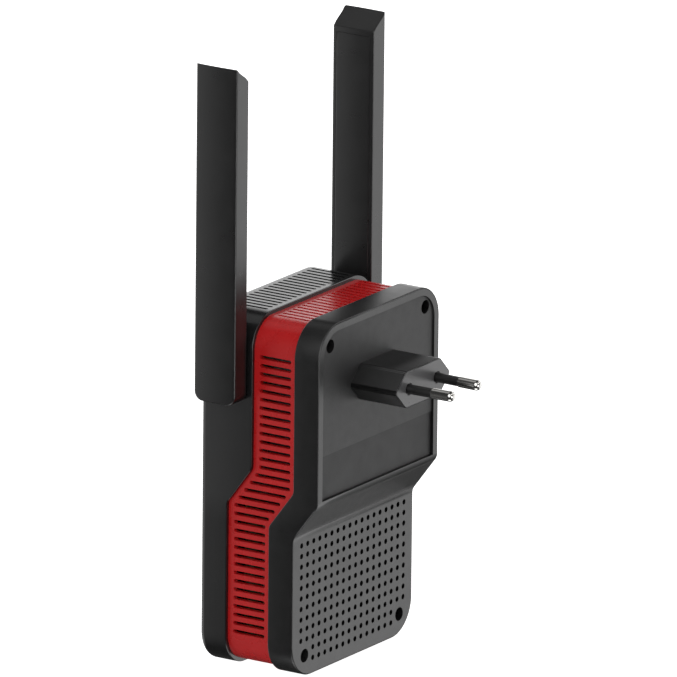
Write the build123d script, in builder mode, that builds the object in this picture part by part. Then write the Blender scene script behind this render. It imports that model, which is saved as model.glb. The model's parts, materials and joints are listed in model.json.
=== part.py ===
from build123d import *
import os

# Plug-in wifi range extender with two folding antennas.
# Frame: origin at the centre of the plug's end face, +Y into the wall socket,
# +Z up the wall, X across it. The front of the housing faces -Y.

# --- Housing outline, seen from the front ---
BODY_WIDTH = 80.0
BODY_TOP = 26.0
BODY_BOTTOM = -108.0
CORNER_R = 13.0
BODY_MID_Z = (BODY_TOP + BODY_BOTTOM) / 2
BODY_HEIGHT = BODY_TOP - BODY_BOTTOM

# --- Housing depth: the rear face steps forward below the plug ---
FRONT_Y = -69.5
REAR_Y = -19.0
STEP = 10.5
STEP_TOP_Z = -40.5
STEP_SLOPE = 4 / 3
STEP_BOTTOM_Z = STEP_TOP_Z - STEP * STEP_SLOPE
BEND_SHIFT = 1 / 3
BEND_R = 4.0
BEYOND = 20.0

# --- Shells and vent band: depths are measured inward, square to the rear face ---
WALL = 2.0
REAR_WALL = 2.4
REAR_RIM = 10.5
FRONT_RIM = 28.6
FRONT_EDGE_R = 2.0
REAR_EDGE_R = 0.5
RIM_R = 0.3
BAND_INSET = 1.5
BAND_INNER = 3.6
TONGUE_INSET = 2.1
TONGUE_LENGTH = 3.0

# --- Vents ---
SLOT_PITCH = 3.18
SLOT_HEIGHT = 1.4
SIDE_SLOTS = 34
TOP_SLOTS = 18
BOTTOM_SLOTS_FROM = 4
BAND_SLOT_MARGIN = 2.3
TOP_SLOT_Y = (-45.1, -31.5)
GRILLE_Y = (-66.0, -49.5)
HOLE_PITCH = 4.0
HOLE_D = 2.0
HOLE_COLUMNS = 18
HOLE_ROWS = 12
HOLES_TOP_Z = -58.0
CORNER_FREE_X = 27.0
CORNER_FREE_Z = -97.0

# --- Recessed panel and rating label on the upper rear face ---
PANEL_SIDE = 36.8
PANEL_TOP_Z = 23.1
PANEL_BOTTOM_Z = -39.0
PANEL_DEPTH = 0.7
LABEL_TOP_Z = -22.5
LABEL_POCKET_DEPTH = 1.3
LABEL_THICK = 0.3
LABEL_GAP = 0.15

# --- Plug boss and pins ---
BOSS_HEIGHT = 13.7
BOSS_FLAT_X = 11.4
BOSS_TIP_R = 1.45
BOSS_CORNER_R = 2.4
BOSS_END_EDGE_R = 0.35
BOSS_WALL = 2.0
BOSS_END_WALL = 3.0
PIN_BASE_X = 9.3
PIN_TIP_X = 8.75
PIN_LENGTH = 19.0
PIN_R = 2.0
PIN_DOME_R = 1.8
PIN_CORE_R = 1.5
SLEEVE_R = 1.8
SLEEVE_LENGTH = 10.0
SLEEVE_RECESS_R = 2.3
SLEEVE_RECESS_DEPTH = 0.4
CARRIER_BACK_Y = -20.0
PIN_BACK_Y = CARRIER_BACK_Y - 0.5
TILT_GAP = 0.1
CONTACT_X = 2.0
CONTACT_Z = (-2.5, 3.5)
CONTACT_THICK = 0.5

# --- Case screws, each 28 mm long under the head ---
SCREW_X = 31.5
UPPER_SCREW_Z = 18.0
LOWER_SCREW_Z = -100.0
COUNTERBORE_R = 2.55
COUNTERBORE_DEPTH = 7.0
SCREW_CLEAR_R = 1.5
SCREW_R = 1.3
SCREW_HEAD_R = 2.35
SCREW_HEAD_H = 1.8
CROSS_LENGTH = 2.6
CROSS_WIDTH = 0.6
CROSS_DEPTH = 1.0
SCREW_LENGTH = 28.0
PILOT_SPARE = 0.5
REAR_COLUMN_R = 4.0
COLUMN_R = 3.5
SEAT_THICK = 3.0
JOINT_GAP = 0.2

# --- Antennas: the figures are for the +X one, and the other is its mirror image ---
ANTENNA_GAP = 0.8
ANTENNA_X = BODY_WIDTH / 2 + ANTENNA_GAP
ANTENNA_THICK = 8.5
ANTENNA_Y = (-66.8, -49.3)
ANTENNA_BOTTOM = -5.65
ANTENNA_TOP = 120.35
ANTENNA_TOP_DROP = 6.0
ANTENNA_CORNER_R = 3.5
ANTENNA_EDGE_R = 0.8
ANTENNA_WALL = 1.3
PIVOT_Y = sum(ANTENNA_Y) / 2
PIVOT_Z = 6.85
PIVOT_R = 4.5
PIVOT_HOLE_R = 4.58
PIVOT_BORE_R = 1.9
PIVOT_END_X = 34.5
PIVOT_GROOVE_R = 3.8
CLIP_X = (35.1, 35.9)
CLIP_R = 6.0
CLIP_MOUTH = 5.0
WASHER_X = (36.0, 36.5)
WASHER_R = 6.5
COLLAR_R = 7.0

# --- Circuit boards ---
BOARD_THICK = 1.6
MAIN_BOARD_REAR_Y = -57.2
MAIN_BOARD_FRONT_Y = MAIN_BOARD_REAR_Y - BOARD_THICK
MAIN_BOARD_X = 27.0
MAIN_BOARD_Z = (-104.0, 20.0)
MAIN_POSTS = [(-22, 14), (22, 14), (-23, -54), (23, -54)]
POST_FLOOR = 1.0
POWER_BOARD_REAR_Y = -26.0
POWER_BOARD_FRONT_Y = POWER_BOARD_REAR_Y - BOARD_THICK
POWER_BOARD_X = 26.5
POWER_BOARD_Z = (-34.0, 20.0)
POWER_POSTS = [(-22, 15), (22, 15), (-22, -29), (22, -29)]
POST_R = 2.5
BOARD_SCREW_R = 1.0
BOARD_SCREW_HEAD_R = 1.9
BOARD_SCREW_HEAD_H = 1.2
BOARD_SCREW_GRIP = 3.0

# --- On the main board: spans along X and Z, and heights above its rear side ---
SOC_X = (-7.0, 7.0)
SOC_Z = (-78.0, -64.0)
SOC_HEIGHT = 1.2
MEMORY_SPANS = [((4.0, 14.0), (-57.0, -50.0)), ((-14.0, -8.0), (-56.0, -51.0))]
MEMORY_HEIGHT = 1.0
PAD_THICK = 0.6
SINK_X = (-20.0, 20.0)
SINK_Z = (-84.0, -58.0)
SINK_BASE = 2.0
FINS = 9
FIN_PITCH = 4.8
FIN_THICK = 1.2
FIN_HEIGHT = 15.4
SHIELD_X = (-18.0, 18.0)
SHIELD_Z = (-48.0, -8.0)
SHIELD_HEIGHT = 2.4
SHIELD_SHEET = 0.3
FILM_THICK = 0.4
MAGNETICS_X = (-26.0, -12.0)
MAGNETICS_Z = (-100.0, -89.0)
MAGNETICS_HEIGHT = 5.0
MAGNETICS_CHAMFER = 0.4
SOCKET_X = 21.0
SOCKET_HALF = 1.3
SOCKET_HEIGHT = 1.2

# --- On the power board, with heights above its front side ---
LINK_X = (-6.35, 6.35)
LINK_Z = (15.2, 17.8)
CORE_X = (-10.0, 10.0)
CORE_Z = (-13.0, 5.0)
CORE_HEIGHT = 18.4
CORE_PLATE = 3.0
CORE_POST_Z = (-5.0, 5.0)
WINDING_X = (-7.0, 7.0)
WINDING_Z = (-13.0, 13.0)
BULK_POINTS = [(-20, 3), (-20, -7)]
BULK_HEIGHT = 14.0
OUTPUT_POINTS = [(20, -20)]
OUTPUT_HEIGHT = 12.0
CAN_R = 4.0
CHOKE_POINTS = [(20, 5)]
CHOKE_HEIGHT = 10.0
CHOKE_FLANGE = 1.0
CHOKE_WAIST_R = 3.0
FUSE_X = (13.0, 21.0)
FUSE_Z = (-7.0, -3.0)
FUSE_HEIGHT = 8.0
FUSE_CORNER_R = 1.0
RECTIFIER_X = (13.0, 19.5)
RECTIFIER_Z = (-14.0, -9.0)
RECTIFIER_HEIGHT = 2.6

# --- Buttons and lights ---
WPS_Z = -22.0
WPS_R = 6.0
WPS_HOLE_R = 6.1
WPS_PROUD = 0.6
WPS_FLANGE_R = 7.0
SWITCH_SIZE = 6.0
SWITCH_HEIGHT = 3.4
SWITCH_PLUNGER_R = 1.7
SWITCH_PLUNGER_OUT = 1.0
SWITCH_PLUNGER_IN = 1.5
SWITCH_CORNER = 0.5
SWITCH_CLEARANCE = 0.08
SWITCH_SPARE = 0.8
WPS_FLANGE_THICK = 1.0
LIGHT_XS = [-12, -4, 4, 12]
LIGHT_Z = 6.0
LIGHT_R = 1.0
LED_HALF_X = 0.8
LED_HALF_Z = 0.5
LED_HEIGHT = 1.0
LED_AIR = 0.2
PIPE_BAR_THICK = 1.5
PIPE_BAR_HALF = 1.5
PIPE_BAR_SPARE = 2.0
RESET_X = SLOT_PITCH * 3.5
RESET_Y = -55.2
RESET_HOLE_R = 0.9
RESET_PLUNGER_R = 0.8
RESET_PLUNGER_Z = (-103.6, -101.0)
RESET_SWITCH_X = 2.5
RESET_SWITCH_HEIGHT = 4.0
RESET_SWITCH_Z = (-102.6, -98.6)
RESET_BORE_DEPTH = 2.4

# --- Network jack, mouth downward ---
JACK_X = 8.0
JACK_Y = (MAIN_BOARD_REAR_Y, -43.7)
JACK_Z = (-106.4, -85.4)
JACK_GAP = 0.15
JACK_MOUTH_X = 5.95
JACK_MOUTH_Y = (-54.6, -47.2)
JACK_CAVITY_TOP = -92.0
LATCH_STEPS = [(3.2, 1.3), (2.0, 2.2)]
JACK_WIRES = 8
JACK_WIRE_PITCH = 1.02
JACK_WIRE_WIDTH = 0.4
JACK_WIRE_SPRING = 1.4
JACK_WIRE_Z = -104.0

# --- Inside the antennas ---
COAX_R = 0.65
ELEMENT_X = (45.2, 46.0)
ELEMENT_Y = (-63.0, -53.1)
ELEMENT_Z = (22.0, 106.0)
COAX_LAP = 4.0
COAX_BEND_R = 3.0
PIGTAIL_GAP = 0.2
PIGTAIL_BEND_R = 2.0
PIGTAIL_STRAIGHT_X = 31.5
PIGTAIL_DOWN_X = 28.0
LID_BELOW_TOP = 2.0
LID_TOP = ANTENNA_TOP - ANTENNA_TOP_DROP - LID_BELOW_TOP
OUTER_X = ANTENNA_X + ANTENNA_THICK
LID_X = ANTENNA_X + ANTENNA_WALL
FLANGE_X = LID_X + 1.5
FLANGE_R = 6.5

os.makedirs("parts", exist_ok=True)


def slab(inset, front_y, rear_y, mode=Mode.ADD):
    """The housing outline, `inset` inside its skin, from front_y back to rear_y."""
    with BuildSketch(Plane.XZ.offset(-front_y)) as face:
        with Locations((0, BODY_MID_Z)):
            RectangleRounded(BODY_WIDTH - 2 * inset, BODY_HEIGHT - 2 * inset, CORNER_R - inset)
    extrude(face.sketch, amount=front_y - rear_y, mode=mode)


def step_cut(depth, far_y, mode=Mode.SUBTRACT):
    """Everything between the stepped surface `depth` inside the rear face and far_y."""
    y = REAR_Y - depth
    z_shift = depth * BEND_SHIFT
    high_z = BODY_TOP + BEYOND
    low_z = BODY_BOTTOM - BEYOND
    with BuildSketch(Plane.YZ) as side:
        with BuildLine():
            step = FilletPolyline(
                (y, high_z),
                (y, STEP_TOP_Z + z_shift),
                (y - STEP, STEP_BOTTOM_Z + z_shift),
                (y - STEP, low_z),
                radius=BEND_R,
            )
            Polyline(step @ 1, (far_y, low_z), (far_y, high_z), step @ 0)
        make_face()
    extrude(side.sketch, amount=BODY_WIDTH, both=True, mode=mode)


def stepped_y(depth, z):
    """Y of the stepped surface `depth` inside the rear face, at height z."""
    fallen = (STEP_TOP_Z + depth * BEND_SHIFT - z) / (STEP_TOP_Z - STEP_BOTTOM_Z)
    return REAR_Y - depth - STEP * min(1.0, max(0.0, fallen))


def block(x_span, y_span, z_span, mode=Mode.ADD):
    """A box given by its spans along X, Y and Z."""
    spans = (x_span, y_span, z_span)
    with Locations(tuple((low + high) / 2 for low, high in spans)):
        Box(*(high - low for low, high in spans), mode=mode)


def rods(points, y_span, radius, mode=Mode.ADD):
    """Round bars along Y through the (x, z) points."""
    with BuildSketch(Plane.XZ.offset(-y_span[0])) as ends:
        with Locations(*points):
            Circle(radius)
    extrude(ends.sketch, amount=y_span[0] - y_span[1], mode=mode)


def side_rod(x_span, radius, mode=Mode.ADD):
    """A round bar along X on the antenna pivot's axis."""
    with BuildSketch(Plane.YZ.offset(x_span[0])) as end:
        with Locations((PIVOT_Y, PIVOT_Z)):
            Circle(radius)
    extrude(end.sketch, amount=x_span[1] - x_span[0], mode=mode)


def slots(centres, size, plane, depth):
    """Round-ended slots cut through a wall, `depth` along the plane's normal each way."""
    with BuildSketch(plane) as row:
        for centre in centres:
            with Locations(centre):
                SlotOverall(*size, rotation=90)
    extrude(row.sketch, amount=depth, both=True, mode=Mode.SUBTRACT)


def outer_edges(faces):
    """The edges around the outside of a group of touching faces."""
    edges = [edge for face in faces for edge in face.edges()]
    return ShapeList(edge for edge in edges if sum(edge.is_same(other) for other in edges) == 1)


def rear_facing(part):
    """The faces of a stepped part that look towards the wall."""
    return part.faces().filter_by(lambda face: face.normal_at().Y > 0.5)


def pin_plane(side, y):
    """The plane square to a pin's axis where that axis crosses y: the pins converge a little."""
    tilt = (PIN_TIP_X - PIN_BASE_X) / PIN_LENGTH
    return Plane((side * (PIN_BASE_X + tilt * y), y, 0), z_dir=(side * tilt, 1, 0))


def save(built, name):
    """Label a finished piece and write its STEP file."""
    built.part.label = name
    export_step(built.part, f"parts/{name}.step")


def mirrored(points):
    """Each (x, z) point and its mirror image across the middle."""
    return [(side * x, z) for x, z in points for side in (1, -1)]


names = {1: "right", -1: "left"}
upper_screws = mirrored([(SCREW_X, UPPER_SCREW_Z)])
lower_screws = mirrored([(SCREW_X, LOWER_SCREW_Z)])
screw_rows = [(upper_screws, 0.0), (lower_screws, STEP)]
slot_xs = [SLOT_PITCH * (i - (TOP_SLOTS - 1) / 2) for i in range(TOP_SLOTS)]
slot_zs = [BODY_MID_Z + SLOT_PITCH * (i - (SIDE_SLOTS - 1) / 2) for i in range(SIDE_SLOTS)]

# ---------------------------------------------------------------- front shell
FRONT_WALL_Y = FRONT_Y + WALL

with BuildPart() as front_shell:
    slab(0, FRONT_Y, REAR_Y)
    step_cut(FRONT_RIM, BEYOND)
    fillet(front_shell.faces().sort_by(Axis.Y)[0].edges(), FRONT_EDGE_R)
    fillet(outer_edges(rear_facing(front_shell)), RIM_R)
    slab(WALL, FRONT_WALL_Y, REAR_Y, mode=Mode.SUBTRACT)
    for points, drop in screw_rows:
        column_end = REAR_Y - FRONT_RIM - drop
        pilot_end = REAR_Y - COUNTERBORE_DEPTH - SCREW_LENGTH - PILOT_SPARE - drop
        rods(points, (FRONT_WALL_Y, column_end), COLUMN_R)
        rods(points, (pilot_end, column_end), SCREW_R, Mode.SUBTRACT)
    rods(MAIN_POSTS, (FRONT_WALL_Y, MAIN_BOARD_FRONT_Y), POST_R)
    rods(MAIN_POSTS, (FRONT_WALL_Y + POST_FLOOR, MAIN_BOARD_FRONT_Y), BOARD_SCREW_R, Mode.SUBTRACT)
    wall_x = BODY_WIDTH / 2 - WALL
    for side in names:
        side_rod((side * wall_x, side * WASHER_X[1]), COLLAR_R)
        side_rod((side * WASHER_X[1], side * (BODY_WIDTH / 2 + 1)), PIVOT_HOLE_R, Mode.SUBTRACT)
    rods([(0, WPS_Z)], (FRONT_Y - 1, FRONT_WALL_Y), WPS_HOLE_R, Mode.SUBTRACT)
    rods([(x, LIGHT_Z) for x in LIGHT_XS], (FRONT_Y - 1, FRONT_WALL_Y), LIGHT_R, Mode.SUBTRACT)
    grille_length = GRILLE_Y[1] - GRILLE_Y[0]
    grille_points = [(x, sum(GRILLE_Y) / 2) for x in slot_xs]
    slots(grille_points, (grille_length, SLOT_HEIGHT), Plane.XY.offset(BODY_TOP), WALL + 1)
save(front_shell, "front_shell")

# ---------------------------------------------------------------- vent band
with BuildPart() as vent_band:
    slab(BAND_INSET, FRONT_Y, REAR_Y)
    step_cut(REAR_RIM, BEYOND)
    step_cut(FRONT_RIM, FRONT_Y - 1)
    with BuildPart(mode=Mode.PRIVATE) as tongues:
        slab(TONGUE_INSET, FRONT_Y, REAR_Y)
        step_cut(REAR_RIM - TONGUE_LENGTH, BEYOND)
        step_cut(FRONT_RIM + TONGUE_LENGTH, FRONT_Y - 1)
        for points, drop in screw_rows:
            rods(points, (FRONT_Y, REAR_Y), REAR_COLUMN_R + JOINT_GAP, Mode.SUBTRACT)
    add(tongues.part)
    slab(BAND_INNER, FRONT_Y, REAR_Y, mode=Mode.SUBTRACT)
    for points, drop in screw_rows:
        front_end = REAR_Y - FRONT_RIM - drop + JOINT_GAP
        rear_end = REAR_Y - COUNTERBORE_DEPTH - SEAT_THICK - drop - JOINT_GAP
        rods(points, (front_end, rear_end), COLUMN_R)
        rods(points, (front_end, rear_end), SCREW_CLEAR_R, Mode.SUBTRACT)
    with BuildSketch(Plane.YZ) as side_slots:
        for z in slot_zs:
            front_y = stepped_y(FRONT_RIM, z) + BAND_SLOT_MARGIN
            rear_y = stepped_y(REAR_RIM, z) - BAND_SLOT_MARGIN
            with Locations(((front_y + rear_y) / 2, z)):
                SlotOverall(rear_y - front_y, SLOT_HEIGHT)
    extrude(side_slots.sketch, amount=BODY_WIDTH, both=True, mode=Mode.SUBTRACT)
    band_slot = (TOP_SLOT_Y[1] - TOP_SLOT_Y[0], SLOT_HEIGHT)
    top_points = [(x, sum(TOP_SLOT_Y) / 2) for x in slot_xs]
    slots(top_points, band_slot, Plane.XY.offset(BODY_TOP), BAND_INNER + 1)
    outer_xs = slot_xs[:BOTTOM_SLOTS_FROM + 1] + slot_xs[-BOTTOM_SLOTS_FROM - 1:]
    bottom_points = [(x, sum(TOP_SLOT_Y) / 2 - STEP) for x in outer_xs]
    slots(bottom_points, band_slot, Plane.XY.offset(BODY_BOTTOM), BAND_INNER + 1)
    jack_hole_x = JACK_X + JACK_GAP
    jack_hole_y = (JACK_Y[0] - JACK_GAP, JACK_Y[1] + JACK_GAP)
    below_band = (BODY_BOTTOM, BODY_BOTTOM + BAND_INNER + 1)
    block((-jack_hole_x, jack_hole_x), jack_hole_y, below_band, Mode.SUBTRACT)
    with Locations((RESET_X, RESET_Y, BODY_BOTTOM)):
        Cylinder(RESET_HOLE_R, 2 * BAND_INNER + 1, mode=Mode.SUBTRACT)
save(vent_band, "vent_band")

# ---------------------------------------------------------------- rear shell
def boss_outline(shrink=0.0):
    """The plug boss's six-sided section, `shrink` inside its skin."""
    half = BOSS_HEIGHT / 2 - shrink
    tip = BOSS_FLAT_X + BOSS_HEIGHT / 2 - shrink * 2 ** 0.5
    flat = tip - half
    hexagon = [(flat, half), (-flat, half), (-tip, 0), (-flat, -half), (flat, -half), (tip, 0)]
    with BuildSketch(Plane.XZ) as section:
        Polygon(*hexagon, align=None)
        corners = section.vertices().sort_by(Axis.X)
        fillet([corners[0], corners[-1]], BOSS_TIP_R)
        fillet(section.vertices().filter_by_position(Axis.X, -flat - 0.1, flat + 0.1), BOSS_CORNER_R)
    return section.sketch


with BuildPart() as rear_shell:
    slab(0, FRONT_Y, REAR_Y)
    step_cut(0, BEYOND)
    step_cut(REAR_RIM, FRONT_Y - 1)
    fillet(outer_edges(rear_facing(rear_shell)), REAR_EDGE_R)
    front_faces = rear_shell.faces().filter_by(lambda face: face.normal_at().Y < -0.5)
    fillet(outer_edges(front_faces), RIM_R)
    with BuildPart(mode=Mode.PRIVATE) as hollow:
        slab(WALL, FRONT_Y, REAR_Y)
        step_cut(REAR_WALL, BEYOND)
    add(hollow.part, mode=Mode.SUBTRACT)
    with BuildSketch(Plane.XZ.offset(-REAR_Y)) as panel:
        with Locations((0, (PANEL_TOP_Z + PANEL_BOTTOM_Z) / 2)):
            Rectangle(2 * PANEL_SIDE, PANEL_TOP_Z - PANEL_BOTTOM_Z)
        fillet(panel.vertices().group_by(Axis.Y)[-1], CORNER_R - BODY_WIDTH / 2 + PANEL_SIDE)
        fillet(panel.vertices().group_by(Axis.Y)[0], REAR_EDGE_R)
    extrude(panel.sketch, amount=PANEL_DEPTH, mode=Mode.SUBTRACT)
    label_y = REAR_Y - LABEL_POCKET_DEPTH
    block((-PANEL_SIDE, PANEL_SIDE), (label_y, REAR_Y), (PANEL_BOTTOM_Z, LABEL_TOP_Z), Mode.SUBTRACT)
    extrude(boss_outline(), amount=-REAR_Y + REAR_WALL)
    fillet(rear_shell.faces().sort_by(Axis.Y)[-1].edges(), BOSS_END_EDGE_R)
    extrude(boss_outline(BOSS_WALL), amount=-CARRIER_BACK_Y + BEYOND, mode=Mode.SUBTRACT)
    extrude(boss_outline(BOSS_WALL / 2), amount=BOSS_END_WALL)
    for points, drop in screw_rows:
        seat_y = REAR_Y - COUNTERBORE_DEPTH - drop
        rods(points, (seat_y - SEAT_THICK, REAR_Y - REAR_WALL / 2 - drop), REAR_COLUMN_R)
        rods(points, (seat_y, REAR_Y + 1), COUNTERBORE_R, Mode.SUBTRACT)
        rods(points, (seat_y - SEAT_THICK, seat_y), SCREW_CLEAR_R, Mode.SUBTRACT)
    rods(POWER_POSTS, (POWER_BOARD_REAR_Y, REAR_Y - REAR_WALL), POST_R)
    power_pilot_end = REAR_Y - REAR_WALL - POST_FLOOR
    rods(POWER_POSTS, (POWER_BOARD_REAR_Y, power_pilot_end), BOARD_SCREW_R, Mode.SUBTRACT)
    for side in names:
        with BuildSketch(pin_plane(side, 0)) as sleeve_hole:
            Circle(SLEEVE_R)
        extrude(sleeve_hole.sketch, amount=BOSS_END_WALL + 1, both=True, mode=Mode.SUBTRACT)
        recess_y = (-SLEEVE_RECESS_DEPTH, 1)
        rods([(side * PIN_BASE_X, 0)], recess_y, SLEEVE_RECESS_R, Mode.SUBTRACT)
    with BuildSketch(Plane.XZ.offset(-(REAR_Y - STEP))) as grid:
        for column in range(HOLE_COLUMNS):
            for row in range(HOLE_ROWS):
                x = HOLE_PITCH * (column - (HOLE_COLUMNS - 1) / 2)
                z = HOLES_TOP_Z - HOLE_PITCH * row
                if abs(x) < CORNER_FREE_X or z > CORNER_FREE_Z:
                    with Locations((x, z)):
                        Circle(HOLE_D / 2)
    extrude(grid.sketch, amount=REAR_WALL + 1, both=True, mode=Mode.SUBTRACT)
save(rear_shell, "rear_shell")

# ---------------------------------------------------------------- rating label
with BuildPart() as rating_label:
    label_x = PANEL_SIDE - LABEL_GAP
    label_z = (PANEL_BOTTOM_Z + LABEL_GAP, LABEL_TOP_Z - LABEL_GAP)
    block((-label_x, label_x), (label_y, label_y + LABEL_THICK), label_z)
    fillet(rating_label.edges().filter_by(Axis.Y), REAR_EDGE_R)
save(rating_label, "rating_label")

# ---------------------------------------------------------------- plug pins and their carrier
for side, name in names.items():
    with BuildPart() as plug_pin:
        with BuildSketch(pin_plane(side, PIN_BACK_Y)) as core:
            Circle(PIN_CORE_R)
        extrude(core.sketch, amount=SLEEVE_LENGTH - PIN_BACK_Y + PIN_R)
        with BuildSketch(pin_plane(side, SLEEVE_LENGTH)) as tip:
            Circle(PIN_R)
        extrude(tip.sketch, amount=PIN_LENGTH - SLEEVE_LENGTH)
        fillet(plug_pin.faces().sort_by(Axis.Y)[-1].edges(), PIN_DOME_R)
    save(plug_pin, f"plug_pin_{name}")

    with BuildPart() as pin_sleeve:
        with BuildSketch(pin_plane(side, TILT_GAP - BOSS_END_WALL)) as ring:
            Circle(SLEEVE_R)
            Circle(PIN_CORE_R, mode=Mode.SUBTRACT)
        extrude(ring.sketch, amount=SLEEVE_LENGTH + BOSS_END_WALL - TILT_GAP)
    save(pin_sleeve, f"pin_sleeve_{name}")

    with BuildPart() as pin_contact:
        x = pin_plane(side, PIN_BACK_Y).origin.X
        contact_x = (x - CONTACT_X, x + CONTACT_X)
        leaf_y = (PIN_BACK_Y - TILT_GAP - CONTACT_THICK, PIN_BACK_Y - TILT_GAP)
        block(contact_x, leaf_y, CONTACT_Z)
        block(contact_x, (POWER_BOARD_REAR_Y, leaf_y[0]), (CONTACT_Z[1] - CONTACT_THICK, CONTACT_Z[1]))
    save(pin_contact, f"pin_contact_{name}")

with BuildPart() as pin_carrier:
    extrude(boss_outline(BOSS_WALL), amount=-CARRIER_BACK_Y)
    extrude(boss_outline(), amount=BOSS_END_WALL, mode=Mode.SUBTRACT)
    for side in names:
        with BuildSketch(pin_plane(side, CARRIER_BACK_Y - 1)) as bore:
            Circle(PIN_CORE_R)
        extrude(bore.sketch, amount=-CARRIER_BACK_Y + 1, mode=Mode.SUBTRACT)
save(pin_carrier, "pin_carrier")

# ---------------------------------------------------------------- screws
with BuildPart() as case_screws:
    for points, drop in screw_rows:
        seat_y = REAR_Y - COUNTERBORE_DEPTH - drop
        rods(points, (seat_y, seat_y + SCREW_HEAD_H), SCREW_HEAD_R)
        rods(points, (seat_y - SCREW_LENGTH, seat_y), SCREW_R)
        cross_y = (seat_y + SCREW_HEAD_H - CROSS_DEPTH, seat_y + SCREW_HEAD_H)
        with BuildSketch(Plane.XZ.offset(-cross_y[0])) as crosses:
            with Locations(*points):
                Rectangle(CROSS_LENGTH, CROSS_WIDTH)
                Rectangle(CROSS_WIDTH, CROSS_LENGTH)
        extrude(crosses.sketch, amount=-CROSS_DEPTH, mode=Mode.SUBTRACT)
save(case_screws, "case_screws")

with BuildPart() as board_screws:
    grip = BOARD_THICK + BOARD_SCREW_GRIP
    rods(MAIN_POSTS, (MAIN_BOARD_REAR_Y, MAIN_BOARD_REAR_Y + BOARD_SCREW_HEAD_H), BOARD_SCREW_HEAD_R)
    rods(MAIN_POSTS, (MAIN_BOARD_REAR_Y - grip, MAIN_BOARD_REAR_Y), BOARD_SCREW_R)
save(board_screws, "board_screws")

with BuildPart() as power_board_screws:
    head_y = POWER_BOARD_FRONT_Y - BOARD_SCREW_HEAD_H
    rods(POWER_POSTS, (head_y, POWER_BOARD_FRONT_Y), BOARD_SCREW_HEAD_R)
    rods(POWER_POSTS, (POWER_BOARD_FRONT_Y, POWER_BOARD_FRONT_Y + grip), BOARD_SCREW_R)
save(power_board_screws, "power_board_screws")

# ---------------------------------------------------------------- main board and what is on it
with BuildPart() as main_board:
    board_y = (MAIN_BOARD_FRONT_Y, MAIN_BOARD_REAR_Y)
    block((-MAIN_BOARD_X, MAIN_BOARD_X), board_y, MAIN_BOARD_Z)
    rods(MAIN_POSTS, board_y, BOARD_SCREW_R, Mode.SUBTRACT)
save(main_board, "main_board")


def on_main_board(x_span, z_span, height, mode=Mode.ADD):
    """A box standing on the main board's rear side."""
    block(x_span, (MAIN_BOARD_REAR_Y, MAIN_BOARD_REAR_Y + height), z_span, mode)


def inside(span, wall):
    """A span shortened by a wall at each end."""
    return (span[0] + wall, span[1] - wall)


def around(middle, half):
    """A span that reaches `half` to each side of its middle."""
    return (middle - half, middle + half)


with BuildPart() as soc_chip:
    on_main_board(SOC_X, SOC_Z, SOC_HEIGHT)
save(soc_chip, "soc_chip")

with BuildPart() as memory_chips:
    for x_span, z_span in MEMORY_SPANS:
        on_main_board(x_span, z_span, MEMORY_HEIGHT)
save(memory_chips, "memory_chips")

pad_front_y = MAIN_BOARD_REAR_Y + SOC_HEIGHT
sink_front_y = pad_front_y + PAD_THICK
with BuildPart() as thermal_pad:
    block(SOC_X, (pad_front_y, sink_front_y), SOC_Z)
save(thermal_pad, "thermal_pad")

with BuildPart() as heat_sink:
    fin_y = (sink_front_y + SINK_BASE, sink_front_y + SINK_BASE + FIN_HEIGHT)
    block(SINK_X, (sink_front_y, fin_y[0]), SINK_Z)
    for fin in range(FINS):
        fin_x = FIN_PITCH * (fin - (FINS - 1) / 2)
        block(around(fin_x, FIN_THICK / 2), fin_y, SINK_Z)
save(heat_sink, "heat_sink")

shield_y = MAIN_BOARD_REAR_Y + SHIELD_HEIGHT
with BuildPart() as radio_shield:
    on_main_board(SHIELD_X, SHIELD_Z, SHIELD_HEIGHT)
    hollow_x = inside(SHIELD_X, SHIELD_SHEET)
    hollow_z = inside(SHIELD_Z, SHIELD_SHEET)
    on_main_board(hollow_x, hollow_z, SHIELD_HEIGHT - SHIELD_SHEET, Mode.SUBTRACT)
save(radio_shield, "radio_shield")

with BuildPart() as insulating_film:
    block(SHIELD_X, (shield_y, shield_y + FILM_THICK), SHIELD_Z)
save(insulating_film, "insulating_film")

with BuildPart() as network_transformer:
    on_main_board(MAGNETICS_X, MAGNETICS_Z, MAGNETICS_HEIGHT)
    chamfer(network_transformer.faces().sort_by(Axis.Y)[-1].edges(), MAGNETICS_CHAMFER)
save(network_transformer, "network_transformer")

with BuildPart() as antenna_sockets:
    for side in names:
        socket_x = around(side * SOCKET_X, SOCKET_HALF)
        on_main_board(socket_x, around(PIVOT_Z, SOCKET_HALF), SOCKET_HEIGHT)
save(antenna_sockets, "antenna_sockets")

led_front_y = MAIN_BOARD_FRONT_Y - LED_HEIGHT
with BuildPart() as indicator_leds:
    for x in LIGHT_XS:
        led_x = around(x, LED_HALF_X)
        block(led_x, (led_front_y, MAIN_BOARD_FRONT_Y), around(LIGHT_Z, LED_HALF_Z))
save(indicator_leds, "indicator_leds")

with BuildPart() as light_pipe:
    light_points = [(x, LIGHT_Z) for x in LIGHT_XS]
    bar_x = (LIGHT_XS[0] - PIPE_BAR_SPARE, LIGHT_XS[-1] + PIPE_BAR_SPARE)
    bar_y = (FRONT_WALL_Y, FRONT_WALL_Y + PIPE_BAR_THICK)
    block(bar_x, bar_y, around(LIGHT_Z, PIPE_BAR_HALF))
    rods(light_points, (FRONT_Y, bar_y[0]), LIGHT_R)
    rods(light_points, (bar_y[1], led_front_y - LED_AIR), LIGHT_R)
save(light_pipe, "light_pipe")

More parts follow.
